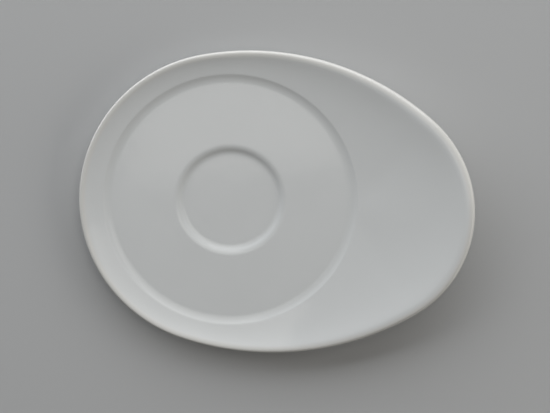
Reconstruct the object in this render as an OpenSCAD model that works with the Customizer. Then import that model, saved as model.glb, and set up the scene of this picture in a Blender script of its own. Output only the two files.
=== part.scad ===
// Espresso saucer of white porcelain, egg-shaped, with a round well and a cup seat set off
// towards the big end. +X points to the narrow end, +Z up, and the saucer stands on z = 0.
// All lengths are in millimetres and all angles in degrees.

/* [Outline] */
// Radius of the round big end
big_end_r = 60.5; // [57:0.5:66]
// Radius of the narrow end
small_end_r = 50; // [42:0.5:55]
// Distance between the centres of the two ends
end_spacing = 49.5; // [40:0.5:60]
// Radius of the long arcs that join the two ends
side_r = 111.5; // [100:0.5:140]

/* [Well] */
// Radius of the edge where the well meets the flange
well_r = 51.5; // [49:0.25:53]
// Radius of the flat floor of the well
well_floor_r = 47.5; // [46:0.25:48.5]
// Depth of the well floor below its edge
well_depth = 0.8; // [0.4:0.05:1.2]
// How late the wall of the well curls up to its edge: 2 is an even curve
wall_curl = 2.4; // [1.6:0.1:3]
// Distance of the well's centre from the centre of the big end, towards the narrow end
well_offset = 0.75; // [-2:0.25:4]

/* [Cup seat] */
// Radius of the flat floor of the cup seat
seat_floor_r = 18.6; // [15:0.1:19.5]
// Radius at which the soft step of the cup seat reaches the well floor
seat_r = 22.9; // [21.5:0.1:28]
// Depth of the cup seat below the well floor
seat_depth = 1.05; // [0.6:0.05:1.6]
// Share of the step's width that is its hollow lower arc: the rest is its rounded upper edge
seat_hollow = 0.45; // [0.3:0.05:0.7]

/* [Flange and lip] */
// Rise of the rim above the edge of the well where the flange is narrow
rim_rise = 1.8; // [1:0.1:4]
// Rise of the rim above the edge of the well at the narrow end
tip_rise = 10; // [5:0.25:13]
// How late the rise comes as the flange widens: 1 rises with the width
rise_growth = 1.2; // [1:0.05:2]
// Share of the flange's climb that is a straight slope: the rest curls up towards the lip
flange_straight = 0.65; // [0.4:0.05:0.9]
// How late the flange curls up: 2 is an even curve
flange_curl = 2.6; // [1.6:0.1:3.2]
// Radius of the rounded lip where the flange is narrow
lip_r = 0.8; // [0.7:0.05:1.4]
// Radius of the rounded lip at the narrow end, where it is thicker
tip_lip_r = 1.8; // [1.5:0.05:2.4]
// How late the lip thickens on its way to the narrow end
lip_growth = 2.5; // [1:0.1:4]
// Radius of the soft shoulder inside the lip, as a multiple of the lip's own radius
shoulder_ratio = 5.5; // [2.5:0.25:6]
// Slope of the shoulder where it meets the flange, and of the lip's end where it meets the underside
lip_slope = 18; // [12:1:24]

/* [Body] */
// Height of the well floor above the table
floor_z = 7.2; // [6.4:0.1:9]
// Height of the flat underside round the foot
underside_z = 3; // [2.4:0.1:3.6]
// How much the underside curls up towards the lip: 1 is a straight slope
underside_curl = 1.35; // [1.1:0.05:1.6]

/* [Foot] */
// Outer radius of the foot ring at the table
foot_r = 40; // [35:0.25:41]
// Width of the foot ring at the table
foot_w = 3.2; // [2.6:0.1:5]
// Depth of the hollow inside the foot ring
foot_hollow = 2.6; // [2:0.1:3.4]
// Lean of the two walls of the foot ring
foot_draft = 12; // [4:1:20]
// Radius of the hollow corners at the root of the foot ring
foot_fillet = 1; // [0.4:0.1:1.4]
// Radius of the rounded edges that touch the table
foot_edge_r = 0.5; // [0.2:0.05:0.8]

/* [Glaze] */
// Thickness of the glaze
glaze_t = 0.3; // [0.15:0.05:0.5]
// Height of the bare band at the bottom of the foot ring
bare_h = 0.9; // [0.5:0.1:1.2]

/* [Hidden] */
$fn = 96;

// Smoothness of the lofted flange, of each soft step and of each small round
stations = 80;
wall_steps = 3;
flange_steps = 6;
shoulder_steps = 3;
outer_lip_steps = 4;
inner_lip_steps = 3;
underside_steps = 6;
seat_steps = 6;
fillet_steps = 4;

// The shoulder is an arc from the flange up to the crest, and the lip an arc from the crest
// over its outermost point to the underside
shoulder_angles = [for (k = [0 : shoulder_steps - 1]) 90 + lip_slope * (1 - k / shoulder_steps)];
lip_angles = [
    for (k = [0 : outer_lip_steps]) 90 * (1 - k / outer_lip_steps),
    for (k = [1 : inner_lip_steps]) (lip_slope - 90) * k / inner_lip_steps
];

// Egg outline of four tangent arcs, centred on the origin from end to end
length = big_end_r + end_spacing + small_end_r;
big_c = [big_end_r - length / 2, 0];
small_c = [big_c.x + end_spacing, 0];
big_gap = side_r - big_end_r;
small_gap = side_r - small_end_r;
side_x = (big_gap ^ 2 - small_gap ^ 2 + end_spacing ^ 2) / (2 * end_spacing);
side_c = [big_c.x + side_x, -sqrt(big_gap ^ 2 - side_x ^ 2)];
well_c = [big_c.x + well_offset, 0];
big_joint = side_c + side_r * (big_c - side_c) / big_gap - well_c;
small_joint = side_c + side_r * (small_c - side_c) / small_gap - well_c;
big_joint_angle = atan2(big_joint.y, big_joint.x);
small_joint_angle = atan2(small_joint.y, small_joint.x);

// Levels
edge_z = floor_z + well_depth;
seat_z = floor_z - seat_depth;

// How far the hollow corner of the foot reaches out from the wall's foot, under a ceiling at z
function corner_reach(z) = (z - foot_fillet) * tan(foot_draft) + foot_fillet / cos(foot_draft);

// The lofted ring and the turned centre overlap between the foot and the wall of the well
foot_root_r = corner_reach(underside_z) + foot_r;
lap = (well_floor_r - foot_root_r) / 3;
ring_inner_r = foot_root_r + lap;
centre_r = foot_root_r + 2 * lap;

// Rays from the well's centre along which the loft is drawn
ray_angles = [for (k = [0 : stations - 1]) 180 - 360 * k / stations];

// Which arc of the outline a ray from the well's centre meets: [centre, radius]
function arc_at(angle) =
    angle >= big_joint_angle ? [big_c, big_end_r]
    : angle <= small_joint_angle ? [small_c, small_end_r]
    : [side_c, side_r];

// Distance from the well's centre to a circle round c, along the direction u
function ray_length(c, r, u) =
    let (along = (c - well_c) * u)
    along + sqrt(r ^ 2 - (c - well_c) * (c - well_c) + along ^ 2);

// Width of the flange along a ray, from the edge of the well to the outline
function flange_width(angle) =
    let (arc = arc_at(abs(angle)))
    ray_length(arc[0], arc[1], [cos(angle), abs(sin(angle))]) - well_r;

// Outline point and outward normal for a ray at an angle from -180 to 180
function rim(angle) =
    let (
        arc = arc_at(abs(angle)),
        side = angle < 0 ? -1 : 1,
        u = [cos(angle), abs(sin(angle))],
        point = well_c + u * ray_length(arc[0], arc[1], u),
        normal = (point - arc[0]) / arc[1]
    )
    [[point.x, side * point.y], [normal.x, side * normal.y]];

// Rise of the rim: the flange climbs higher where it is wider
back_width = flange_width(180);
tip_width = flange_width(0);
function rise(angle) =
    let (share = max(0, (flange_width(angle) - back_width) / (tip_width - back_width)))
    rim_rise + (tip_rise - rim_rise) * share ^ rise_growth;

// Radius of the lip: it thickens from the big end to the narrow end
function lip_at(angle) = between(lip_r, tip_lip_r, ((1 + cos(angle)) / 2) ^ lip_growth);

function at_radius(angle, r, z) = [well_c.x + r * cos(angle), well_c.y + r * sin(angle), z];
function between(a, b, share) = a + (b - a) * share;
function lift(xy, z) = [xy.x, xy.y, z];
function reversed(list) = [for (k = [len(list) - 1 : -1 : 0]) list[k]];

// Closed outline of a thin layer: out along its face and back along its other side
function layer(face, back) = [each face, each reversed(back)];

// Share of its climb that the flange has made at a share of its width
function climb(share) = flange_straight * share + (1 - flange_straight) * share ^ flange_curl;

// Upright arc with its top at the crest of the lip, drawn inset below its radius
function arc_points(crest, crest_z, normal, r, inset, angles) = [
    for (a = angles)
        lift(crest + normal * (r - inset) * cos(a), crest_z - r + (r - inset) * sin(a))
];

// Path along one ray over the floor, wall of the well, flange and lip and back under the ring.
// It lies inset below the glazed surface: 0 is the glaze itself, glaze_t the body under it.
function ring_path(angle, inset) =
    let (
        outline = rim(angle),
        round_r = lip_at(angle),
        shoulder_r = round_r * shoulder_ratio,
        crest = outline[0] - outline[1] * round_r,
        crest_z = edge_z + rise(angle),
        lip = [
            each arc_points(crest, crest_z, outline[1], shoulder_r, inset, shoulder_angles),
            each arc_points(crest, crest_z, outline[1], round_r, inset, lip_angles)
        ],
        first = lip[0],
        last = lip[len(lip) - 1],
        edge = at_radius(angle, well_r, edge_z - inset),
        root = at_radius(angle, well_floor_r, underside_z + inset)
    )
    [
        at_radius(angle, ring_inner_r, floor_z - inset),
        for (k = [0 : wall_steps - 1])
            let (share = k / wall_steps)
            at_radius(angle, between(well_floor_r, well_r, share), floor_z - inset + well_depth * share ^ wall_curl),
        for (k = [0 : flange_steps - 1])
            let (share = k / flange_steps)
            lift(between(edge, first, share), between(edge.z, first.z, climb(share))),
        each lip,
        for (k = [underside_steps - 1 : -1 : 0])
            let (share = k / underside_steps)
            lift(between(root, last, share), between(root.z, last.z, share ^ underside_curl)),
        at_radius(angle, ring_inner_r, underside_z + inset)
    ];

// Skin over a ring of closed sections that all have the same number of points
module loft(sections) {
    count = len(sections[0]);
    rings = len(sections);
    faces = [
        for (k = [0 : rings - 1], j = [0 : count - 1])
            let (
                next_k = (k + 1) % rings,
                next_j = (j + 1) % count,
                a = k * count + j,
                b = k * count + next_j,
                c = next_k * count + next_j,
                d = next_k * count + j
            )
            each [[a, b, c], [a, c, d]]
    ];
    polyhedron([for (s = sections) each s], faces);
}

// Soft step of the cup seat, from the well floor inwards: an upper and a lower arc that run
// into each other
step_w = seat_r - seat_floor_r;
step_angle = 2 * atan(seat_depth / step_w);
upper_r = (1 - seat_hollow) * step_w / sin(step_angle);
lower_r = seat_hollow * step_w / sin(step_angle);
function seat_step(inset) = [
    for (k = [0 : seat_steps])
        let (a = step_angle * k / seat_steps)
        [seat_r - upper_r * sin(a), floor_z - inset - upper_r * (1 - cos(a))],
    for (k = [seat_steps - 1 : -1 : 0])
        let (a = step_angle * k / seat_steps)
        [seat_floor_r + lower_r * sin(a), seat_z - inset + lower_r * (1 - cos(a))]
];

// Hollow corner from a leaning wall of the foot to the level ceiling at z.
// The wall meets the table at r; side is 1 for the outer wall and -1 for the inner one.
function foot_corner(r, z, side) = [
    for (k = [0 : fillet_steps])
        let (a = between(180 - foot_draft, 90, k / fillet_steps))
        [r + side * (corner_reach(z) + foot_fillet * cos(a)), z - foot_fillet * (1 - sin(a))]
];

// Rounded edge from the table to a leaning wall of the foot
function foot_edge(r, side) =
    let (centre = foot_edge_r * (tan(foot_draft) - 1 / cos(foot_draft)))
    [
        for (k = [0 : fillet_steps])
            let (a = between(-90, -foot_draft, k / fillet_steps))
            [r + side * (centre + foot_edge_r * cos(a)), foot_edge_r * (1 + sin(a))]
    ];

// Path over the cup seat, from the lap with the lofted ring to the axis
function centre_top(inset) = [
    [centre_r, floor_z - inset],
    each seat_step(inset),
    [0, seat_z - inset]
];

// Path up the outer wall of the foot ring, from from_z to the lap with the lofted ring
function foot_outside(inset, from_z) = [
    [foot_r - inset + from_z * tan(foot_draft), from_z],
    each foot_corner(foot_r - inset, underside_z + inset, 1),
    [centre_r, underside_z + inset]
];

// Path up the inner wall of the foot ring, from from_z to the axis
function foot_inside(inset, from_z) = [
    [foot_r - foot_w + inset - from_z * tan(foot_draft), from_z],
    each foot_corner(foot_r - foot_w + inset, foot_hollow + inset, -1),
    [0, foot_hollow + inset]
];

module about_well() {
    translate([well_c.x, well_c.y, 0])
        rotate_extrude()
            children();
}

// Fired body, bare at the bottom of the foot ring
module porcelain_body() {
    color("#efeae0")
        union() {
            loft([for (angle = ray_angles) ring_path(angle, glaze_t)]);
            about_well()
                polygon([
                    each reversed(foot_inside(glaze_t, bare_h)),
                    each reversed(foot_edge(foot_r - foot_w + glaze_t, -1)),
                    each foot_edge(foot_r - glaze_t, 1),
                    each foot_outside(glaze_t, bare_h),
                    each centre_top(glaze_t)
                ]);
        }
}

// Glaze over the face, the lip, the underside and the outer wall of the foot ring
module face_glaze() {
    color("#f4f6f5")
        union() {
            loft([for (angle = ray_angles) layer(ring_path(angle, 0), ring_path(angle, glaze_t))]);
            about_well()
                polygon(layer(centre_top(0), centre_top(glaze_t)));
            about_well()
                polygon(layer(foot_outside(0, bare_h), foot_outside(glaze_t, bare_h)));
        }
}

// Glaze inside the foot ring
module base_glaze() {
    color("#f4f6f5")
        about_well()
            polygon(layer(foot_inside(0, bare_h), foot_inside(glaze_t, bare_h)));
}

porcelain_body();
face_glaze();
base_glaze();
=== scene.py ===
import math

import bmesh
import bpy
from mathutils import Matrix, Vector


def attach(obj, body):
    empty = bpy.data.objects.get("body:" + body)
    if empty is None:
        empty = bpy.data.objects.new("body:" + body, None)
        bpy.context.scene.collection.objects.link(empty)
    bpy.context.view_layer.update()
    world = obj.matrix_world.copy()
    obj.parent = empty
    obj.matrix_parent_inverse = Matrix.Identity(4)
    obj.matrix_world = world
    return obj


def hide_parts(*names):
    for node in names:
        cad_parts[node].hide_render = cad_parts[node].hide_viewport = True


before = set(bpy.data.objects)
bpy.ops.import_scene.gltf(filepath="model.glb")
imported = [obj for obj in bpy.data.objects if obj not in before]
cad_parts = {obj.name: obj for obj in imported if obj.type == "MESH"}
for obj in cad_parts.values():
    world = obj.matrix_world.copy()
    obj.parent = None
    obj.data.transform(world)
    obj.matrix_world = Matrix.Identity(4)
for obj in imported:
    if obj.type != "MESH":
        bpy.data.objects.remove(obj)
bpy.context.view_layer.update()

bl_info = {
    "name": "Egg-shaped Espresso Saucer",
    "version": (1, 0, 0),
    "blender": (4, 5, 0),
    "location": "3D View > Sidebar > Saucer",
    "description": "Glazes an egg-shaped porcelain saucer and sets it in a small studio",
    "category": "Object",
}

# Vertices round every ring, and of the two circles that the lip's section is cut from
RING_VERTICES = 240
LIP_CIRCLE_VERTICES = 40
SHOULDER_CIRCLE_VERTICES = 120

# Rings along each curved stretch, and cuts across the two bridges to the lip
SEAT_STEP_RINGS = 7
WALL_RINGS = 6
EDGE_RINGS = 6
CORNER_RINGS = 6
FLANGE_CUTS = 24
UNDERSIDE_CUTS = 20

# Rings over the flats: shares of the seat floor's radius, the well floor's width and the foot's radius
SEAT_RINGS = (0.2, 0.45, 0.7, 0.88, 0.96)
FLOOR_RINGS = (0.03, 0.15, 0.4, 0.65, 0.85, 0.97, 1)
BASE_RINGS = (0.1, 0.3, 0.5, 0.7, 0.82, 0.87)

MERGE_DISTANCE = 1e-6
NEAR = 1e-5
SMOOTH_ANGLE = math.radians(40)

# Share of the wall's slope that is lost at the edge of the well, where the flange takes over
EDGE_TURN = 0.5

# How far the outline stays inside the solids' one, whose facets cut a little off its arcs
OUTLINE_MARGIN = 0.00003

# Depth inside the outline up to which the glaze is thin, and from which it is even
THIN_TO = 0.0012
EVEN_FROM = 0.0034

# Middle of the pooled glaze outside the seat's and the well's floor, and how far it spreads there
POOL_OFFSET = 0.0015
SEAT_POOL_W = 0.004
WALL_POOL_W = 0.003

GLAZE_ROUGHNESS = 0.08
GLAZE_IOR = 1.52
BARE_ROUGHNESS = 0.72
STAGE_ROUGHNESS = 0.9

# Sockets of a colour Mix node, whose names repeat for its other kinds of value
MIX_FACTOR = 0
MIX_BELOW = 6
MIX_ABOVE = 7
MIX_RESULT = 2

# Low lamps round the saucer, in degrees and metres
LOW_LAMP_DISTANCE = 1.4
LOW_LAMPS = {
    "window": dict(azimuth=200, elevation=25, width=4.4, height=1.25),
    "right": dict(azimuth=85, elevation=21, width=2.0, height=0.93),
}

# Level panel overhead: the middle of its front edge, its turn, then its width and depth
PANEL_FRONT = (0.19, -0.146, 1.1)
PANEL_TURN = math.radians(9.6)
PANEL_SIZE = (0.62, 0.95)

# Side of the floor and its gap under the foot ring, then the width of the camera's frame in millimetres
STAGE_SIZE = 6
STAGE_GAP = 0.00005
FILM_WIDTH = 36


class SaucerSizes(bpy.types.PropertyGroup):
    """Sizes of the saucer, as its solids have them."""

    big_end_r: bpy.props.FloatProperty(
        name="Big End", description="Radius of the round big end",
        default=0.0605, unit="LENGTH"
    )
    small_end_r: bpy.props.FloatProperty(
        name="Small End", description="Radius of the narrow end",
        default=0.050, unit="LENGTH"
    )
    end_spacing: bpy.props.FloatProperty(
        name="End Spacing", description="Distance between the centres of the ends",
        default=0.0495, unit="LENGTH"
    )
    side_r: bpy.props.FloatProperty(
        name="Sides", description="Radius of the long arcs that join the ends",
        default=0.1115, unit="LENGTH"
    )
    well_r: bpy.props.FloatProperty(
        name="Well Edge", description="Radius of the edge of the well",
        default=0.0515, unit="LENGTH"
    )
    well_floor_r: bpy.props.FloatProperty(
        name="Well Floor", description="Radius of the flat floor of the well",
        default=0.0475, unit="LENGTH"
    )
    well_depth: bpy.props.FloatProperty(
        name="Well Depth", description="Depth of the floor below the edge",
        default=0.0008, unit="LENGTH"
    )
    wall_curl: bpy.props.FloatProperty(
        name="Wall Curl", description="How late the wall of the well curls up to its edge",
        default=2.4
    )
    well_offset: bpy.props.FloatProperty(
        name="Well Offset", description="Well's centre from the big end's centre",
        default=0.00075, unit="LENGTH"
    )
    edge_round: bpy.props.FloatProperty(
        name="Edge Softness", description="Half width of the softened edge of the well",
        default=0.0006, unit="LENGTH"
    )
    seat_floor_r: bpy.props.FloatProperty(
        name="Seat Floor", description="Radius of the floor of the cup seat",
        default=0.0186, unit="LENGTH"
    )
    seat_r: bpy.props.FloatProperty(
        name="Cup Seat", description="Radius where the seat's step meets the floor",
        default=0.0229, unit="LENGTH"
    )
    seat_depth: bpy.props.FloatProperty(
        name="Seat Depth", description="Depth of the seat below the well floor",
        default=0.00105, unit="LENGTH"
    )
    seat_hollow: bpy.props.FloatProperty(
        name="Seat Hollow", description="Share of the seat's step that is its hollow lower arc",
        default=0.45
    )
    rim_rise: bpy.props.FloatProperty(
        name="Rim Rise", description="Rise of the rim where the flange is narrow",
        default=0.0018, unit="LENGTH"
    )
    tip_rise: bpy.props.FloatProperty(
        name="Tip Rise", description="Rise of the rim at the narrow end",
        default=0.010, unit="LENGTH"
    )
    rise_growth: bpy.props.FloatProperty(
        name="Rise Growth", description="How late the rise comes as the flange widens",
        default=1.2
    )
    flange_straight: bpy.props.FloatProperty(
        name="Flange Straight", description="Share of the climb that is a straight slope",
        default=0.65
    )
    flange_curl: bpy.props.FloatProperty(
        name="Flange Curl", description="How late the flange curls up towards the lip",
        default=2.6
    )
    lip_r: bpy.props.FloatProperty(
        name="Lip", description="Radius of the lip where the flange is narrow",
        default=0.0008, unit="LENGTH"
    )
    tip_lip_r: bpy.props.FloatProperty(
        name="Tip Lip", description="Radius of the lip at the narrow end",
        default=0.0018, unit="LENGTH"
    )
    lip_growth: bpy.props.FloatProperty(
        name="Lip Growth", description="How late the lip thickens towards the narrow end",
        default=2.5
    )
    shoulder_ratio: bpy.props.FloatProperty(
        name="Shoulder", description="Radius of the lip's shoulder over the lip's own radius",
        default=5.5
    )
    lip_slope: bpy.props.FloatProperty(
        name="Lip Slope", description="Slope where the lip meets the flange and the underside",
        default=math.radians(18), subtype="ANGLE"
    )
    floor_z: bpy.props.FloatProperty(
        name="Floor Height", description="Height of the well floor above the table",
        default=0.0072, unit="LENGTH"
    )
    underside_z: bpy.props.FloatProperty(
        name="Underside", description="Height of the underside round the foot",
        default=0.003, unit="LENGTH"
    )
    underside_curl: bpy.props.FloatProperty(
        name="Underside Curl", description="How much the underside curls up to the lip",
        default=1.35
    )
    foot_r: bpy.props.FloatProperty(
        name="Foot", description="Outer radius of the foot ring at the table",
        default=0.040, unit="LENGTH"
    )
    foot_w: bpy.props.FloatProperty(
        name="Foot Width", description="Width of the foot ring at the table",
        default=0.0032, unit="LENGTH"
    )
    foot_hollow: bpy.props.FloatProperty(
        name="Foot Hollow", description="Depth of the hollow in the foot ring",
        default=0.0026, unit="LENGTH"
    )
    foot_draft: bpy.props.FloatProperty(
        name="Foot Lean", description="Lean of the walls of the foot",
        default=math.radians(12), subtype="ANGLE"
    )
    foot_fillet: bpy.props.FloatProperty(
        name="Foot Corner", description="Radius of the hollow corners of the foot",
        default=0.001, unit="LENGTH"
    )
    glaze_t: bpy.props.FloatProperty(
        name="Glaze", description="Thickness of the glaze",
        default=0.0003, unit="LENGTH"
    )
    bare_h: bpy.props.FloatProperty(
        name="Bare Band", description="Height of the bare band of the foot ring",
        default=0.0009, unit="LENGTH"
    )


class SaucerFinish(bpy.types.PropertyGroup):
    """Colours of the glaze and of the fired body."""

    glaze: bpy.props.FloatVectorProperty(
        name="Glaze", description="White glaze where it is even",
        default=(0.738, 0.748, 0.740), subtype="COLOR"
    )
    thin_glaze: bpy.props.FloatVectorProperty(
        name="Thin Glaze", description="Glaze drawn thin over the lip",
        default=(0.752, 0.738, 0.700), subtype="COLOR"
    )
    pooled_glaze: bpy.props.FloatVectorProperty(
        name="Pooled Glaze", description="Glaze pooled in the hollows",
        default=(0.712, 0.724, 0.714), subtype="COLOR"
    )
    bare: bpy.props.FloatVectorProperty(
        name="Bare Porcelain", description="Unglazed foot ring",
        default=(0.680, 0.640, 0.565), subtype="COLOR"
    )
    speck: bpy.props.FloatVectorProperty(
        name="Specks", description="Iron specks in the clay",
        default=(0.250, 0.205, 0.160), subtype="COLOR"
    )


class StudioSettings(bpy.types.PropertyGroup):
    """Floor, lamps and camera."""

    floor: bpy.props.FloatVectorProperty(
        name="Floor", description="Colour of the floor and the backdrop",
        default=(0.560, 0.562, 0.560), subtype="COLOR"
    )
    azimuth: bpy.props.FloatProperty(
        name="Azimuth", description="Turn of the camera round the saucer",
        default=math.radians(4.63), subtype="ANGLE"
    )
    elevation: bpy.props.FloatProperty(
        name="Elevation", description="Camera above the front horizon",
        default=math.radians(100.9), subtype="ANGLE"
    )
    distance: bpy.props.FloatProperty(
        name="Distance", description="Camera to the aim",
        default=0.9, unit="LENGTH"
    )
    aim: bpy.props.FloatVectorProperty(
        name="Aim", description="Point the camera looks at",
        default=(-0.00054, -0.00097, 0.008), subtype="XYZ"
    )
    lens: bpy.props.FloatProperty(
        name="Lens", description="Focal length in millimetres on a 36 mm frame",
        default=145.2
    )
    window_power: bpy.props.FloatProperty(
        name="Window", description="Power of the wide low lamp behind the saucer",
        default=40.5, unit="POWER"
    )
    right_power: bpy.props.FloatProperty(
        name="Right", description="Power of the low lamp at the narrow end",
        default=7.1, unit="POWER"
    )
    ceiling_power: bpy.props.FloatProperty(
        name="Ceiling", description="Power of the panel over the well",
        default=1.8, unit="POWER"
    )
    daylight: bpy.props.FloatVectorProperty(
        name="Daylight", description="Colour of the window lamp",
        default=(0.945, 0.97, 1.0), subtype="COLOR"
    )
    roomlight: bpy.props.FloatVectorProperty(
        name="Room Light", description="Colour of the other lamps",
        default=(1.0, 0.978, 0.935), subtype="COLOR"
    )


class EggOutline:
    """Outline of the lip from above: four tangent arcs, with the well set off to the big end."""

    def __init__(self, size):
        length = size.big_end_r + size.end_spacing + size.small_end_r
        big_gap = size.side_r - size.big_end_r
        small_gap = size.side_r - size.small_end_r
        side_x = (big_gap**2 - small_gap**2 + size.end_spacing**2) / (2 * size.end_spacing)
        side_y = math.sqrt(big_gap**2 - side_x**2)
        self.size = size
        self.big_r = size.big_end_r - OUTLINE_MARGIN
        self.small_r = size.small_end_r - OUTLINE_MARGIN
        self.side_r = size.side_r - OUTLINE_MARGIN
        self.big_c = Vector((size.big_end_r - length / 2, 0))
        self.small_c = Vector((self.big_c.x + size.end_spacing, 0))
        self.far_side_c = Vector((self.big_c.x + side_x, -side_y))
        self.well_c = Vector((self.big_c.x + size.well_offset, 0))
        self.big_joint = self.far_side_c + (self.big_c - self.far_side_c) * self.side_r / big_gap
        self.small_joint = self.far_side_c + (self.small_c - self.far_side_c) * self.side_r / small_gap
        self.big_joint_angle = self.angle_of(self.big_joint)
        self.small_joint_angle = self.angle_of(self.small_joint)
        self.back_width = self.width(math.pi)
        self.tip_width = self.width(0)

    def angle_of(self, point):
        """Angle of a point about the well's centre, without its sign."""
        return math.atan2(abs(point.y), point.x - self.well_c.x)

    def arc_along(self, angle):
        """Centre and radius of the arc that a ray from the well's centre meets, on the +Y half."""
        if angle >= self.big_joint_angle:
            return self.big_c, self.big_r
        if angle <= self.small_joint_angle:
            return self.small_c, self.small_r
        return self.far_side_c, self.side_r

    def arc_beside(self, point):
        """Centre and radius of the arc that lies nearest to a point, on the +Y half."""
        reach = Vector((point.x, abs(point.y))) - self.far_side_c
        if reach.cross(self.big_joint - self.far_side_c) < 0:
            return self.big_c, self.big_r
        if reach.cross(self.small_joint - self.far_side_c) > 0:
            return self.small_c, self.small_r
        return self.far_side_c, self.side_r

    def width(self, angle):
        """Width of the flange along a ray, from the edge of the well to the outline."""
        centre, radius = self.arc_along(angle)
        ray = Vector((math.cos(angle), math.sin(angle)))
        reach = centre - self.well_c
        along = reach.dot(ray)
        return along + math.sqrt(radius**2 - reach.length_squared + along**2) - self.size.well_r

    def depth(self, point):
        """Distance of a point inside the outline."""
        centre, radius = self.arc_beside(point)
        return radius - (Vector((point.x, abs(point.y))) - centre).length

    def way_out(self, point, margin):
        """Distance from a point to a margin inside the outline, along the ray from the well's centre."""
        centre, radius = self.arc_beside(point)
        reach = Vector((point.x, abs(point.y))) - centre
        ray = Vector((point.x, abs(point.y))) - self.well_c
        return max(0, radius - reach.length - margin) / reach.normalized().dot(ray.normalized())

    def rise(self, point):
        """Rise of the rim beside a point: the flange climbs higher where it is wider."""
        width = self.width(self.angle_of(point))
        share = max(0, (width - self.back_width) / (self.tip_width - self.back_width))
        growth = share**self.size.rise_growth
        return self.size.rim_rise + (self.size.tip_rise - self.size.rim_rise) * growth

    def rim_point(self, angle):
        """Point of the outline along a ray from the well's centre."""
        reach = self.size.well_r + self.width(abs(angle))
        return self.well_c + Vector((math.cos(angle), math.sin(angle))) * reach

    def lip_radius(self, point):
        """Radius of the lip beside a point: it thickens from the big end to the narrow end."""
        size = self.size
        share = ((1 + math.cos(self.angle_of(point))) / 2) ** size.lip_growth
        return size.lip_r + (size.tip_lip_r - size.lip_r) * share

    def well_distance(self, point):
        """Distance of a point from the axis of the well."""
        return math.hypot(point.x - self.well_c.x, point.y - self.well_c.y)


def smooth_step(low, high, value):
    """0 below low, 1 above high and an even slope between them."""
    share = min(1, max(0, (value - low) / (high - low)))
    return share * share * (3 - 2 * share)


def start_piece(name, radius, location):
    """Adds a filled circle as the start of a new piece, and opens it in edit mode, its rim selected."""
    bpy.ops.object.select_all(action="DESELECT")
    bpy.ops.mesh.primitive_circle_add(
        vertices=RING_VERTICES, radius=radius, fill_type="NGON", location=location
    )
    piece = bpy.context.object
    piece.name = name
    piece.data.name = name
    bpy.ops.object.transform_apply(location=True, rotation=True, scale=True)
    bpy.ops.object.mode_set(mode="EDIT")
    bpy.ops.mesh.select_mode(type="EDGE")
    bpy.ops.mesh.select_all(action="SELECT")
    bpy.ops.mesh.poke()
    select_edges(piece, lambda edge: edge.is_boundary)
    return piece


def select_edges(piece, chosen):
    """Selects only the edges for which chosen is true."""
    bpy.ops.mesh.select_all(action="DESELECT")
    mesh = bmesh.from_edit_mesh(piece.data)
    found = [edge for edge in mesh.edges if chosen(edge)]
    if not found:
        raise RuntimeError(f"{piece.name} has no such edges to select")
    for edge in found:
        edge.select_set(True)
    bmesh.update_edit_mesh(piece.data)


def draw_rings(centre, start, path):
    """Extrudes the selected ring from one (radius, height) to the next along a path."""
    radius, height = start
    for next_radius, next_height in path:
        scale = next_radius / radius
        bpy.ops.mesh.extrude_edges_move(TRANSFORM_OT_translate={"value": (0, 0, next_height - height)})
        pivot = (centre.x, centre.y, next_height)
        bpy.ops.transform.resize(value=(scale, scale, 1), center_override=pivot)
        radius, height = next_radius, next_height


def edge_dip(size, radius):
    """How far softening the edge of the well lowers it."""
    lap = max(0, size.edge_round - abs(radius - size.well_r))
    wall_slope = size.wall_curl * size.well_depth / (size.well_r - size.well_floor_r)
    return wall_slope * EDGE_TURN * lap**2 / (4 * size.edge_round)


def wall_height(size, radius):
    """Height of the wall of the well, level with its edge from there outwards."""
    share = min(1, max(0, (radius - size.well_floor_r) / (size.well_r - size.well_floor_r)))
    return size.floor_z + size.well_depth * share**size.wall_curl - edge_dip(size, radius)


def face_path(size):
    """Rings over the cup seat, the floor and the wall of the well, from the axis outwards."""
    seat_z = size.floor_z - size.seat_depth
    step_w = size.seat_r - size.seat_floor_r
    step_angle = 2 * math.atan(size.seat_depth / step_w)
    lower_r = size.seat_hollow * step_w / math.sin(step_angle)
    upper_r = (1 - size.seat_hollow) * step_w / math.sin(step_angle)
    turns = [step_angle * k / SEAT_STEP_RINGS for k in range(SEAT_STEP_RINGS + 1)]
    path = [(size.seat_floor_r * share, seat_z) for share in SEAT_RINGS[1:]]
    for turn in turns:
        across, up = lower_r * math.sin(turn), lower_r * (1 - math.cos(turn))
        path.append((size.seat_floor_r + across, seat_z + up))
    for turn in reversed(turns[:-1]):
        across, down = upper_r * math.sin(turn), upper_r * (1 - math.cos(turn))
        path.append((size.seat_r - across, size.floor_z - down))
    floor_w = size.well_floor_r - size.seat_r
    path += [(size.seat_r + floor_w * share, size.floor_z) for share in FLOOR_RINGS]
    soft_inner_r = size.well_r - size.edge_round
    wall_w = soft_inner_r - size.well_floor_r
    wall = [size.well_floor_r + wall_w * k / WALL_RINGS for k in range(1, WALL_RINGS + 1)]
    edge = [soft_inner_r + 2 * size.edge_round * k / EDGE_RINGS for k in range(1, EDGE_RINGS + 1)]
    return path + [(radius, wall_height(size, radius)) for radius in wall + edge]


def corner_path(size, wall_r, ceiling_z, side):
    """Rings up a leaning wall of the foot and round its hollow corner to a level ceiling."""
    lean = size.foot_draft
    fillet = size.foot_fillet
    reach = (ceiling_z - fillet) * math.tan(lean) + fillet / math.cos(lean)
    path = [(wall_r + side * size.bare_h * math.tan(lean), size.bare_h)]
    for k in range(CORNER_RINGS + 1):
        turn = math.pi - lean + (lean - math.pi / 2) * k / CORNER_RINGS
        radius = wall_r + side * (reach + fillet * math.cos(turn))
        path.append((radius, ceiling_z - fillet * (1 - math.sin(turn))))
    return path


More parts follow.
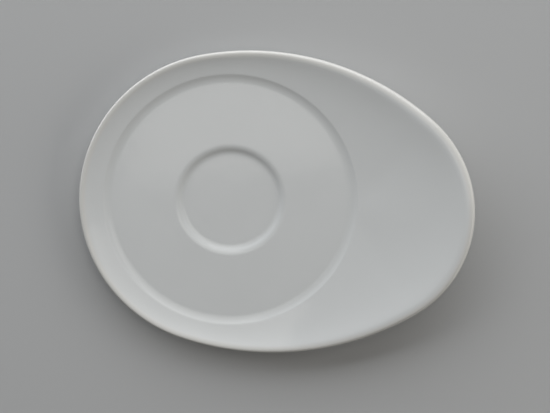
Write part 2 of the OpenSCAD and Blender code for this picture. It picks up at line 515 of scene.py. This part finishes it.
def keep_arc(section, centre, first, last):
    """Deletes the selected vertices of a section that lie outside an arc about a centre."""
    mesh = bmesh.from_edit_mesh(section.data)
    for vertex in [v for v in mesh.verts if v.select]:
        outward = centre.x - vertex.co.x
        angle = math.atan2(vertex.co.y - centre.y, outward)
        vertex.select_set(not first - NEAR <= angle <= last + NEAR)
    bmesh.update_edit_mesh(section.data)
    bpy.ops.mesh.delete(type="VERT")


def lip_section(size):
    """Draws the lip's section as a curve, with its outermost point at the origin and X inwards."""
    shoulder_r = size.lip_r * size.shoulder_ratio
    lip_c = Vector((size.lip_r, 0))
    shoulder_c = Vector((size.lip_r, size.lip_r - shoulder_r))
    bpy.ops.object.select_all(action="DESELECT")
    bpy.ops.mesh.primitive_circle_add(
        vertices=LIP_CIRCLE_VERTICES, radius=size.lip_r, location=(lip_c.x, lip_c.y, 0)
    )
    section = bpy.context.object
    bpy.ops.object.transform_apply(location=True, rotation=True, scale=True)
    bpy.ops.object.mode_set(mode="EDIT")
    keep_arc(section, lip_c, size.lip_slope - math.pi / 2, math.pi / 2)
    bpy.ops.mesh.select_all(action="DESELECT")
    bpy.ops.mesh.primitive_circle_add(
        vertices=SHOULDER_CIRCLE_VERTICES, radius=shoulder_r, location=(shoulder_c.x, shoulder_c.y, 0)
    )
    keep_arc(section, shoulder_c, math.pi / 2, math.pi / 2 + size.lip_slope)
    bpy.ops.mesh.select_all(action="SELECT")
    bpy.ops.mesh.remove_doubles(threshold=MERGE_DISTANCE)
    bpy.ops.object.mode_set(mode="OBJECT")
    bpy.ops.object.convert(target="CURVE")
    return section


def sweep_lip(egg, lip_z):
    """Sweeps the lip's section round the outline, thicker towards the narrow end."""
    section = lip_section(egg.size)
    bpy.ops.object.select_all(action="DESELECT")
    bpy.ops.mesh.primitive_circle_add(
        vertices=RING_VERTICES, radius=egg.size.well_r, location=(egg.well_c.x, egg.well_c.y, lip_z)
    )
    lip = bpy.context.object
    bpy.ops.object.transform_apply(location=True, rotation=True, scale=True)
    for vertex in lip.data.vertices:
        angle = math.atan2(vertex.co.y - egg.well_c.y, vertex.co.x - egg.well_c.x)
        vertex.co.xy = egg.rim_point(angle)
    bpy.ops.object.convert(target="CURVE")
    for point in lip.data.splines[0].points:
        point.radius = egg.lip_radius(point.co) / egg.size.lip_r
    lip.data.twist_mode = "Z_UP"
    lip.data.bevel_mode = "OBJECT"
    lip.data.bevel_object = section
    bpy.ops.object.convert(target="MESH")
    bpy.data.objects.remove(section)
    return lip


def bridge_to_lip(piece, egg, ring_r, ring_z, on_lip, cuts):
    """Bridges a turned ring to one edge of the swept lip."""

    def on_either(edge):
        if not edge.is_boundary:
            return False
        for vertex in edge.verts:
            distance = egg.well_distance(vertex.co)
            on_ring = abs(distance - ring_r) < NEAR and abs(vertex.co.z - ring_z) < NEAR
            if not on_ring and not (distance > ring_r + NEAR and on_lip(vertex.co)):
                return False
        return True

    select_edges(piece, on_either)
    bpy.ops.mesh.bridge_edge_loops(number_cuts=cuts, interpolation="LINEAR")


def target_height(point, egg, lip_z):
    """Height that a point of the level skin has on the finished saucer."""
    size = egg.size
    edge_z = size.floor_z + size.well_depth
    distance = egg.well_distance(point)
    depth = egg.depth(point)
    lip_r = egg.lip_radius(point)
    lip_under = lip_r * (1 - math.sin(size.lip_slope))
    lip_end_z = lip_z - lip_r * math.cos(size.lip_slope)
    lip_lift = edge_z + egg.rise(point) - lip_r - lip_z
    if point.z < lip_end_z + NEAR:
        span = max(0, distance - size.well_floor_r)
        share = span / (span + egg.way_out(point, lip_under)) if span > 0 else 0
        climb = lip_end_z + lip_lift - size.underside_z
        return min(point.z, size.underside_z) + climb * share**size.underside_curl
    lip_in = lip_r * (1 + size.shoulder_ratio * math.sin(size.lip_slope))
    if depth < lip_in + NEAR:
        return point.z + lip_lift
    if distance > size.well_r:
        span = distance - size.well_r
        share = span / (span + egg.way_out(point, lip_in))
        curve = size.flange_straight * share + (1 - size.flange_straight) * share**size.flange_curl
        drop = lip_r * size.shoulder_ratio * (1 - math.cos(size.lip_slope))
        return edge_z - edge_dip(size, distance) + (egg.rise(point) - drop) * curve
    return point.z


def lift_skin(piece, egg, lip_z):
    """Raises the flange, the lip and the underside to their heights, by weights and a displacement."""
    lifts = [target_height(vertex.co, egg, lip_z) - vertex.co.z for vertex in piece.data.vertices]
    highest = max(lifts)
    group = piece.vertex_groups.new(name="lift")
    for index, lift in enumerate(lifts):
        group.add([index], max(0, lift) / highest, "REPLACE")
    displace = piece.modifiers.new("Lift", "DISPLACE")
    displace.direction = "Z"
    displace.vertex_group = group.name
    displace.mid_level = 0
    displace.strength = highest
    bpy.ops.object.modifier_apply(modifier=displace.name)
    piece.vertex_groups.clear()


def store_mask(piece, name, value_at):
    """Keeps a value from 0 to 1 at every vertex, for the piece's material to read."""
    mask = piece.data.attributes.new(name, "FLOAT", "POINT")
    mask.data.foreach_set("value", [value_at(vertex.co) for vertex in piece.data.vertices])


def pooled(point, egg):
    """Where the glaze gathers: at the foot of the cup seat's step and of the wall of the well."""
    size = egg.size
    if point.z < size.floor_z - size.seat_depth - NEAR:
        return 0
    distance = egg.well_distance(point)
    seat = smooth_step(SEAT_POOL_W, 0, abs(distance - size.seat_floor_r - POOL_OFFSET))
    wall = smooth_step(WALL_POOL_W, 0, abs(distance - size.well_floor_r - POOL_OFFSET))
    return max(seat, wall)


def thicken(piece, thickness, offset):
    """Gives an open skin its thickness, which closes it, and smooths its shading."""
    wall = piece.modifiers.new("Thickness", "SOLIDIFY")
    wall.thickness = thickness
    wall.offset = offset
    bpy.ops.object.modifier_apply(modifier=wall.name)
    bpy.ops.object.shade_smooth_by_angle(angle=SMOOTH_ANGLE)


def socket(group, name, in_out, kind, default=None):
    """Adds a named socket to a node group."""
    made = group.interface.new_socket(name=name, in_out=in_out, socket_type=kind)
    if default is not None:
        made.default_value = default


def mottle_group():
    """Soft clouds of slightly different tone, from 1 - amount to 1 + amount."""
    name = "Soft Mottle"
    if name in bpy.data.node_groups:
        return bpy.data.node_groups[name]
    group = bpy.data.node_groups.new(name, "ShaderNodeTree")
    socket(group, "Vector", "INPUT", "NodeSocketVector")
    socket(group, "Scale", "INPUT", "NodeSocketFloat", 40.0)
    socket(group, "Amount", "INPUT", "NodeSocketFloat", 0.02)
    socket(group, "Tone", "OUTPUT", "NodeSocketFloat")
    enter = group.nodes.new("NodeGroupInput")
    leave = group.nodes.new("NodeGroupOutput")
    noise = group.nodes.new("ShaderNodeTexNoise")
    noise.inputs["Detail"].default_value = 3
    spread = group.nodes.new("ShaderNodeMapRange")
    spread.inputs["From Min"].default_value = 0.25
    spread.inputs["From Max"].default_value = 0.75
    spread.inputs["To Min"].default_value = -1
    spread.inputs["To Max"].default_value = 1
    tone = group.nodes.new("ShaderNodeMath")
    tone.operation = "MULTIPLY_ADD"
    tone.inputs[2].default_value = 1
    group.links.new(enter.outputs["Vector"], noise.inputs["Vector"])
    group.links.new(enter.outputs["Scale"], noise.inputs["Scale"])
    group.links.new(noise.outputs["Fac"], spread.inputs["Value"])
    group.links.new(spread.outputs["Result"], tone.inputs[0])
    group.links.new(enter.outputs["Amount"], tone.inputs[1])
    group.links.new(tone.outputs[0], leave.inputs["Tone"])
    return group


def speck_group():
    """Sparse round specks: a few cells of a fine pattern hold one each."""
    name = "Clay Specks"
    if name in bpy.data.node_groups:
        return bpy.data.node_groups[name]
    group = bpy.data.node_groups.new(name, "ShaderNodeTree")
    socket(group, "Vector", "INPUT", "NodeSocketVector")
    socket(group, "Scale", "INPUT", "NodeSocketFloat", 150.0)
    socket(group, "Size", "INPUT", "NodeSocketFloat", 0.03)
    socket(group, "Share", "INPUT", "NodeSocketFloat", 0.1)
    socket(group, "Mask", "OUTPUT", "NodeSocketFloat")
    enter = group.nodes.new("NodeGroupInput")
    leave = group.nodes.new("NodeGroupOutput")
    cells = group.nodes.new("ShaderNodeTexVoronoi")
    dots = group.nodes.new("ShaderNodeMath")
    dots.operation = "LESS_THAN"
    chance = group.nodes.new("ShaderNodeSeparateColor")
    held = group.nodes.new("ShaderNodeMath")
    held.operation = "LESS_THAN"
    both = group.nodes.new("ShaderNodeMath")
    both.operation = "MULTIPLY"
    group.links.new(enter.outputs["Vector"], cells.inputs["Vector"])
    group.links.new(enter.outputs["Scale"], cells.inputs["Scale"])
    group.links.new(cells.outputs["Distance"], dots.inputs[0])
    group.links.new(enter.outputs["Size"], dots.inputs[1])
    group.links.new(cells.outputs["Color"], chance.inputs["Color"])
    group.links.new(chance.outputs["Red"], held.inputs[0])
    group.links.new(enter.outputs["Share"], held.inputs[1])
    group.links.new(dots.outputs[0], both.inputs[0])
    group.links.new(held.outputs[0], both.inputs[1])
    group.links.new(both.outputs[0], leave.inputs["Mask"])
    return group


class MaterialDesk:
    """A new node material, with the few moves that every finish here is made of."""

    def __init__(self, name):
        self.material = bpy.data.materials.new(name)
        self.material.use_nodes = True
        self.nodes = self.material.node_tree.nodes
        self.links = self.material.node_tree.links
        self.shader = self.nodes["Principled BSDF"]
        self.place = self.nodes.new("ShaderNodeTexCoord").outputs["Object"]

    def group(self, tree, **values):
        """Places a node group on the object's own coordinates and gives its only output."""
        node = self.nodes.new("ShaderNodeGroup")
        node.node_tree = tree
        self.links.new(self.place, node.inputs["Vector"])
        for name, value in values.items():
            node.inputs[name].default_value = value
        return node.outputs[0]

    def mask(self, name, strength):
        """A mask kept on the piece's vertices, weakened to a strength."""
        read = self.nodes.new("ShaderNodeAttribute")
        read.attribute_name = name
        return self.scale(read.outputs["Fac"], strength)

    def mix(self, factor, below, above, blend="MIX"):
        """Mixes two colours by a factor. Each of the three is a socket or a plain value."""
        node = self.nodes.new("ShaderNodeMix")
        node.data_type = "RGBA"
        node.blend_type = blend
        self.feed(node.inputs[MIX_FACTOR], factor)
        self.feed(node.inputs[MIX_BELOW], below)
        self.feed(node.inputs[MIX_ABOVE], above)
        return node.outputs[MIX_RESULT]

    def feed(self, target, value):
        """Links a socket to an input, or sets the input to a number or a colour."""
        if isinstance(value, bpy.types.NodeSocket):
            self.links.new(value, target)
        elif isinstance(value, (int, float)):
            target.default_value = value
        else:
            target.default_value = (*value, 1)

    def scale(self, value, factor):
        """Multiplies a value by a number."""
        node = self.nodes.new("ShaderNodeMath")
        node.operation = "MULTIPLY"
        node.inputs[1].default_value = factor
        self.links.new(value, node.inputs[0])
        return node.outputs[0]

    def bump(self, scale, detail, height, normal=None):
        """A bump of noise whose height is given in metres."""
        noise = self.nodes.new("ShaderNodeTexNoise")
        noise.inputs["Scale"].default_value = scale
        noise.inputs["Detail"].default_value = detail
        node = self.nodes.new("ShaderNodeBump")
        node.inputs["Distance"].default_value = height
        self.links.new(self.place, noise.inputs["Vector"])
        self.links.new(noise.outputs["Fac"], node.inputs["Height"])
        if normal is not None:
            self.links.new(normal, node.inputs["Normal"])
        return node.outputs["Normal"]


def glaze_material(finish):
    """Glossy white glaze: thin and warm over the lip, pooled and darker in the hollows."""
    name = "White Glaze"
    if name in bpy.data.materials:
        return bpy.data.materials[name]
    desk = MaterialDesk(name)
    colour = desk.mix(desk.mask("pooled", strength=0.7), finish.glaze, finish.pooled_glaze)
    colour = desk.mix(desk.mask("thin", strength=0.9), colour, finish.thin_glaze)
    colour = desk.mix(1, colour, desk.group(mottle_group(), Scale=45, Amount=0.012), "MULTIPLY")
    specks = desk.group(speck_group(), Scale=120, Size=0.035, Share=0.05)
    colour = desk.mix(desk.scale(specks, factor=0.35), colour, finish.speck)
    desk.links.new(colour, desk.shader.inputs["Base Color"])
    gloss = desk.scale(desk.group(mottle_group(), Scale=90, Amount=0.25), GLAZE_ROUGHNESS)
    desk.links.new(gloss, desk.shader.inputs["Roughness"])
    wave = desk.bump(scale=60, detail=2, height=0.00006)
    ripple = desk.bump(scale=700, detail=1, height=0.0000035, normal=wave)
    desk.links.new(ripple, desk.shader.inputs["Normal"])
    desk.shader.inputs["IOR"].default_value = GLAZE_IOR
    return desk.material


def bare_material(finish):
    """Unglazed fired porcelain: matt, warm and a little gritty, with fine specks."""
    desk = MaterialDesk("Bare Porcelain")
    colour = desk.mix(1, finish.bare, desk.group(mottle_group(), Scale=140, Amount=0.06), "MULTIPLY")
    specks = desk.group(speck_group(), Scale=900, Size=0.22, Share=0.06)
    colour = desk.mix(desk.scale(specks, factor=0.6), colour, finish.speck)
    desk.links.new(colour, desk.shader.inputs["Base Color"])
    rough = desk.scale(desk.group(mottle_group(), Scale=300, Amount=0.12), BARE_ROUGHNESS)
    desk.links.new(rough, desk.shader.inputs["Roughness"])
    grit = desk.bump(scale=2500, detail=2, height=0.00002)
    desk.links.new(grit, desk.shader.inputs["Normal"])
    return desk.material


def finish_piece(piece, material, node):
    """Dresses a piece that stands for a CAD node and rides with it."""
    piece.data.materials.append(material)
    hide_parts(node)
    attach(piece, "root")


class SAUCER_OT_face_glaze(bpy.types.Operator):
    """Models the glaze over the face, the lip, the underside and the outside of the foot"""

    bl_idname = "saucer.face_glaze"
    bl_label = "Face Glaze"

    def execute(self, context):
        size = context.scene.saucer_sizes
        egg = EggOutline(size)
        centre = egg.well_c
        edge_z = size.floor_z + size.well_depth
        first_r = size.seat_floor_r * SEAT_RINGS[0]
        seat_z = size.floor_z - size.seat_depth
        piece = start_piece("saucer_face_glaze", first_r, (centre.x, centre.y, seat_z))
        draw_rings(centre, (first_r, seat_z), face_path(size))
        wall = corner_path(size, size.foot_r, size.underside_z, side=1)
        bpy.ops.mesh.select_all(action="DESELECT")
        bpy.ops.mesh.primitive_circle_add(
            vertices=RING_VERTICES, radius=wall[0][0], location=(centre.x, centre.y, wall[0][1])
        )
        draw_rings(centre, wall[0], wall[1:] + [(size.well_floor_r, size.underside_z)])
        bpy.ops.object.mode_set(mode="OBJECT")
        lip_z = size.underside_z + size.tip_lip_r
        lip = sweep_lip(egg, lip_z)
        bpy.ops.object.select_all(action="DESELECT")
        lip.select_set(True)
        piece.select_set(True)
        context.view_layer.objects.active = piece
        bpy.ops.object.join()
        bpy.ops.object.mode_set(mode="EDIT")
        bridge_to_lip(
            piece, egg, size.well_r + size.edge_round, edge_z, lambda place: place.z > lip_z, FLANGE_CUTS
        )
        bridge_to_lip(
            piece, egg, size.well_floor_r, size.underside_z, lambda place: place.z < lip_z, UNDERSIDE_CUTS
        )
        bpy.ops.mesh.select_all(action="SELECT")
        bpy.ops.mesh.remove_doubles(threshold=MERGE_DISTANCE)
        bpy.ops.mesh.normals_make_consistent(inside=False)
        bpy.ops.object.mode_set(mode="OBJECT")
        lift_skin(piece, egg, lip_z)
        store_mask(piece, "thin", lambda point: 1 - smooth_step(THIN_TO, EVEN_FROM, egg.depth(point)))
        store_mask(piece, "pooled", lambda point: pooled(point, egg))
        thicken(piece, size.glaze_t, offset=-1)
        finish_piece(piece, glaze_material(context.scene.saucer_finish), "face_glaze")
        return {"FINISHED"}


class SAUCER_OT_base_glaze(bpy.types.Operator):
    """Models the glaze inside the foot ring"""

    bl_idname = "saucer.base_glaze"
    bl_label = "Base Glaze"

    def execute(self, context):
        size = context.scene.saucer_sizes
        centre = EggOutline(size).well_c
        ceiling_z = size.foot_hollow
        first_r = size.foot_r * BASE_RINGS[0]
        piece = start_piece("saucer_base_glaze", first_r, (centre.x, centre.y, ceiling_z))
        wall = corner_path(size, size.foot_r - size.foot_w, ceiling_z, side=-1)
        ceiling = [(size.foot_r * share, ceiling_z) for share in BASE_RINGS[1:]]
        draw_rings(centre, (first_r, ceiling_z), ceiling + wall[::-1])
        bpy.ops.mesh.select_all(action="SELECT")
        bpy.ops.mesh.normals_make_consistent(inside=False)
        bpy.ops.object.mode_set(mode="OBJECT")
        store_mask(piece, "thin", lambda point: 1 - smooth_step(size.bare_h, 2 * size.bare_h, point.z))
        store_mask(piece, "pooled", lambda point: 0)
        # The skin's outside is the side towards the body, so the thickness grows out that way
        thicken(piece, size.glaze_t, offset=1)
        finish_piece(piece, glaze_material(context.scene.saucer_finish), "base_glaze")
        return {"FINISHED"}


class SAUCER_OT_bare_body(bpy.types.Operator):
    """Gives the fired body its unglazed finish, which shows at the foot ring"""

    bl_idname = "saucer.bare_body"
    bl_label = "Bare Body"

    def execute(self, context):
        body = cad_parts["porcelain_body"]
        material = bare_material(context.scene.saucer_finish)
        if not body.material_slots:
            body.data.materials.append(material)
        for holder in body.material_slots:
            holder.material = material
        return {"FINISHED"}


def direction_to(azimuth, elevation):
    """Direction from the saucer to a point round it, where azimuth 0 is the front, towards -Y."""
    across = math.cos(elevation)
    return Vector((math.sin(azimuth) * across, -math.cos(azimuth) * across, math.sin(elevation)))


def add_lamp(name, place, turn, size, studio):
    """Adds a soft rectangular lamp with the power and the colour that the studio gives it."""
    bpy.ops.object.light_add(type="AREA", location=place, rotation=turn)
    lamp = bpy.context.object
    lamp.name = f"{name}_lamp"
    lamp.data.shape = "RECTANGLE"
    lamp.data.size, lamp.data.size_y = size
    lamp.data.energy = getattr(studio, f"{name}_power")
    lamp.data.color = studio.daylight if name == "window" else studio.roomlight


def add_lamps(studio):
    """Sets the low lamps round the saucer, which face it, and the level panel over it."""
    for name, lamp in LOW_LAMPS.items():
        back = direction_to(math.radians(lamp["azimuth"]), math.radians(lamp["elevation"]))
        place = Vector(studio.aim) + back * LOW_LAMP_DISTANCE
        turn = back.to_track_quat("Z", "Y").to_euler()
        add_lamp(name, place, turn, (lamp["width"], lamp["height"]), studio)
    turn = Matrix.Rotation(PANEL_TURN, 3, "Z")
    place = Vector(PANEL_FRONT) + turn @ Vector((0, PANEL_SIZE[1] / 2, 0))
    add_lamp("ceiling", place, turn.to_euler(), PANEL_SIZE, studio)


def backdrop(colour):
    """A world that the camera and the glaze's reflections see, and that lights nothing else."""
    world = bpy.data.worlds.new("Studio World")
    world.use_nodes = True
    nodes, links = world.node_tree.nodes, world.node_tree.links
    sight = nodes.new("ShaderNodeLightPath")
    seen = sight.outputs["Is Camera Ray"]
    for ray in ("Is Glossy Ray", "Is Transmission Ray"):
        either = nodes.new("ShaderNodeMath")
        either.operation = "MAXIMUM"
        links.new(seen, either.inputs[0])
        links.new(sight.outputs[ray], either.inputs[1])
        seen = either.outputs[0]
    nodes["Background"].inputs["Color"].default_value = (*colour, 1)
    links.new(seen, nodes["Background"].inputs["Strength"])
    return world


def add_floor(studio):
    """Lays the pale floor a hair under the foot ring."""
    bpy.ops.object.select_all(action="DESELECT")
    bpy.ops.mesh.primitive_plane_add(size=STAGE_SIZE, location=(0, 0, -STAGE_GAP))
    floor = bpy.context.object
    floor.name = "studio_floor"
    desk = MaterialDesk("Studio Floor")
    tone = desk.mix(1, studio.floor, desk.group(mottle_group(), Scale=3, Amount=0.01), "MULTIPLY")
    desk.links.new(tone, desk.shader.inputs["Base Color"])
    desk.shader.inputs["Roughness"].default_value = STAGE_ROUGHNESS
    floor.data.materials.append(desk.material)


def add_camera(studio):
    """Adds the camera. It leans past the vertical, so its right hand is set first and its top follows."""
    back = direction_to(studio.azimuth, studio.elevation)
    right = Vector((math.cos(studio.azimuth), math.sin(studio.azimuth), 0))
    turn = Matrix((right, back.cross(right), back)).transposed()
    place = Vector(studio.aim) + back * studio.distance
    bpy.ops.object.camera_add(location=place, rotation=turn.to_euler())
    camera = bpy.context.object
    camera.name = "studio_camera"
    camera.data.sensor_width = FILM_WIDTH
    camera.data.lens = studio.lens
    return camera


class SAUCER_OT_studio(bpy.types.Operator):
    """Sets the pale floor, the backdrop, the soft lamps and the camera"""

    bl_idname = "saucer.studio"
    bl_label = "Studio"

    def execute(self, context):
        scene = context.scene
        studio = scene.saucer_studio
        add_floor(studio)
        scene.world = backdrop(studio.floor)
        add_lamps(studio)
        scene.camera = add_camera(studio)
        scene.view_settings.view_transform = "Standard"
        return {"FINISHED"}


class SAUCER_PT_build(bpy.types.Panel):
    """Lists the saucer's pieces, sizes and colours"""

    bl_idname = "SAUCER_PT_build"
    bl_label = "Espresso Saucer"
    bl_space_type = "VIEW_3D"
    bl_region_type = "UI"
    bl_category = "Saucer"

    def draw(self, context):
        for piece in PIECES:
            self.layout.operator(piece.bl_idname)
        scene = context.scene
        for settings in (scene.saucer_sizes, scene.saucer_finish, scene.saucer_studio):
            box = self.layout.box()
            for name in settings.bl_rna.properties.keys():
                if name not in ("rna_type", "name"):
                    box.prop(settings, name)


PIECES = (SAUCER_OT_face_glaze, SAUCER_OT_base_glaze, SAUCER_OT_bare_body, SAUCER_OT_studio)
CLASSES = (SaucerSizes, SaucerFinish, StudioSettings, *PIECES, SAUCER_PT_build)


def register():
    for item in CLASSES:
        bpy.utils.register_class(item)
    bpy.types.Scene.saucer_sizes = bpy.props.PointerProperty(type=SaucerSizes)
    bpy.types.Scene.saucer_finish = bpy.props.PointerProperty(type=SaucerFinish)
    bpy.types.Scene.saucer_studio = bpy.props.PointerProperty(type=StudioSettings)


def unregister():
    del bpy.types.Scene.saucer_studio
    del bpy.types.Scene.saucer_finish
    del bpy.types.Scene.saucer_sizes
    for item in reversed(CLASSES):
        bpy.utils.unregister_class(item)


def main():
    register()
    bpy.ops.saucer.face_glaze()
    bpy.ops.saucer.base_glaze()
    bpy.ops.saucer.bare_body()
    bpy.ops.saucer.studio()


if __name__ == "__main__":
    main()
